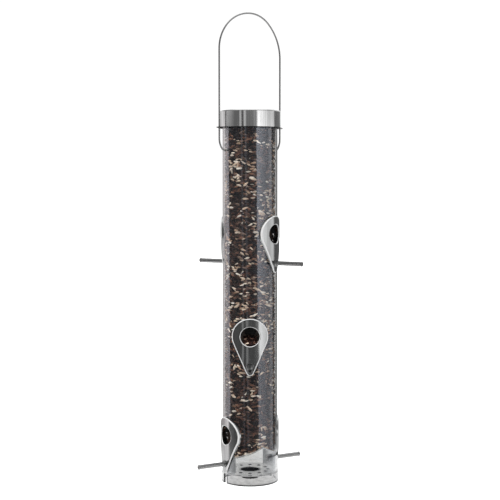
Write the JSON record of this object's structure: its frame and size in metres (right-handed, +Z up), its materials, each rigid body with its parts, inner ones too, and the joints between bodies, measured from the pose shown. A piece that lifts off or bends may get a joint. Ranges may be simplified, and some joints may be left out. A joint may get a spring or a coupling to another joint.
{
  "type": "hanging bird feeder",
  "caption": "Clear tube bird feeder with brushed steel teardrop ports, perches, a sliding lid on a wire bail, and a pull-off clear base cup; filled with seed.",
  "frame": {"origin": "centre of the base cup's bottom rim, on the tube's axis", "axes": "+Z up along the tube; -Y is the front, where the middle tier has a port; +X to the right"},
  "size_m": [0.122, 0.138, 0.5489],
  "materials": {
    "clear_plastic": "clear polished polycarbonate",
    "brushed_steel": "brushed stainless steel",
    "perch_metal": "satin tube",
    "lid_steel": "vertically brushed stainless steel",
    "bail_steel": "bright drawn wire",
    "deflector_steel": "bright sheet",
    "black_plastic": "black moulded",
    "seeds": "mixed seed, dark husks with pale kernels"
  },
  "bodies": {
    "tube_body": {"feeder_tube": "clear_plastic", "seed_deflector": "deflector_steel", "seed_fill": "seeds", "perch_nuts": "perch_metal", "port_plate_1": "brushed_steel", "port_plate_2": "brushed_steel", "port_plate_3": "brushed_steel", "port_plate_4": "brushed_steel", "port_plate_5": "brushed_steel", "port_plate_6": "brushed_steel", "port_hood_1": "black_plastic", "port_hood_2": "black_plastic", "port_hood_3": "black_plastic", "port_hood_4": "black_plastic", "port_hood_5": "black_plastic", "port_hood_6": "black_plastic", "perch_1": "perch_metal", "perch_2": "perch_metal", "perch_3": "perch_metal", "perch_4": "perch_metal", "perch_5": "perch_metal", "perch_6": "perch_metal"},
    "base": {"base_cup": "clear_plastic", "base_socket": "black_plastic"},
    "bail": {"bail_wire": "bail_steel"},
    "lid": {"lid_shell": "lid_steel", "lid_ear_plate": "lid_steel"}
  },
  "joints": [
    {"name": "bail_swing", "type": "hinge", "parent": "tube_body", "child": "bail", "pos_m": [0, 0, 0.389], "axis": [0.866, 0.5, 0], "range_deg": [-2.5, 2.5]},
    {"name": "lid_slide", "type": "slide", "parent": "bail", "child": "lid", "axis": [0, 0, 1], "range_m": [0, 0.08]},
    {"name": "base_pull", "type": "slide", "parent": "tube_body", "child": "base", "axis": [0, 0, -1], "range_m": [0, 0.06]}
  ]
}
